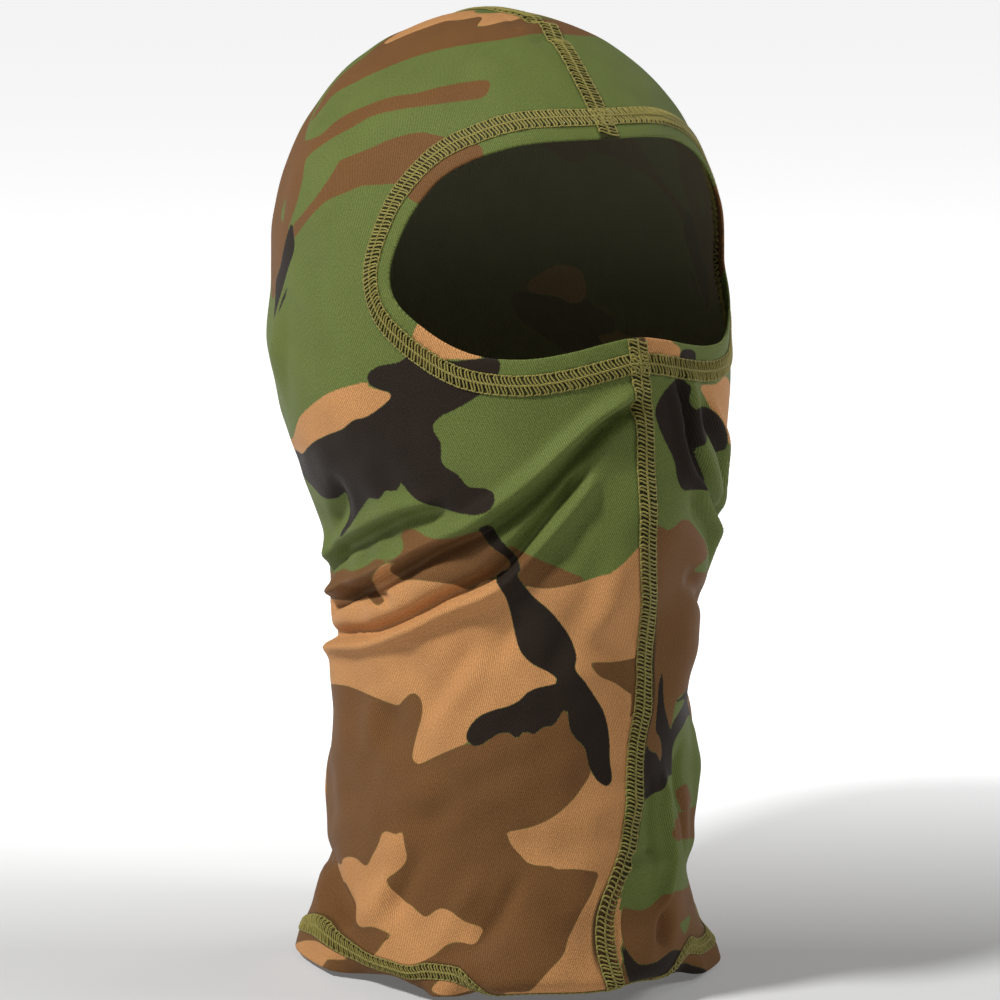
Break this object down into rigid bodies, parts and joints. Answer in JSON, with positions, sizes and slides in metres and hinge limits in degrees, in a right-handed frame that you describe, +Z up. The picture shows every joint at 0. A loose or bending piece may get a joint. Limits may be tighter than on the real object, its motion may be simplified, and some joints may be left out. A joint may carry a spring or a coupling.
{
  "type": "stretch face mask",
  "caption": "Stretch knit balaclava in its worn shape: hollow, open at the face and neck, two camouflage side panels joined by a flat middle seam, hems turned in and cover-stitched.",
  "frame": {"origin": "centre of the underside of the bounding box, at the level of the neck hem's edge", "axes": "+Z up to the crown, -Y out of the face, +X to the wearer's left"},
  "size_m": [0.1532, 0.2058, 0.3404],
  "materials": {
    "camo_knit": "matt to soft-sheen polyester stretch knit, printed camouflage in green, brown, tan and near-black",
    "olive_thread": "soft textured polyester sewing thread, olive"
  },
  "bodies": {
    "root": {"right_panel": "camo_knit", "left_panel": "camo_knit", "front_seam_needle_threads": "olive_thread", "front_seam_cover_thread": "olive_thread", "front_seam_looper_thread": "olive_thread", "crown_seam_needle_threads": "olive_thread", "crown_seam_cover_thread": "olive_thread", "crown_seam_looper_thread": "olive_thread", "face_hem_needle_threads": "olive_thread", "face_hem_cover_thread": "olive_thread", "face_hem_looper_thread": "olive_thread", "neck_hem_needle_threads": "olive_thread", "neck_hem_cover_thread": "olive_thread", "neck_hem_looper_thread": "olive_thread"}
  },
  "joints": []
}
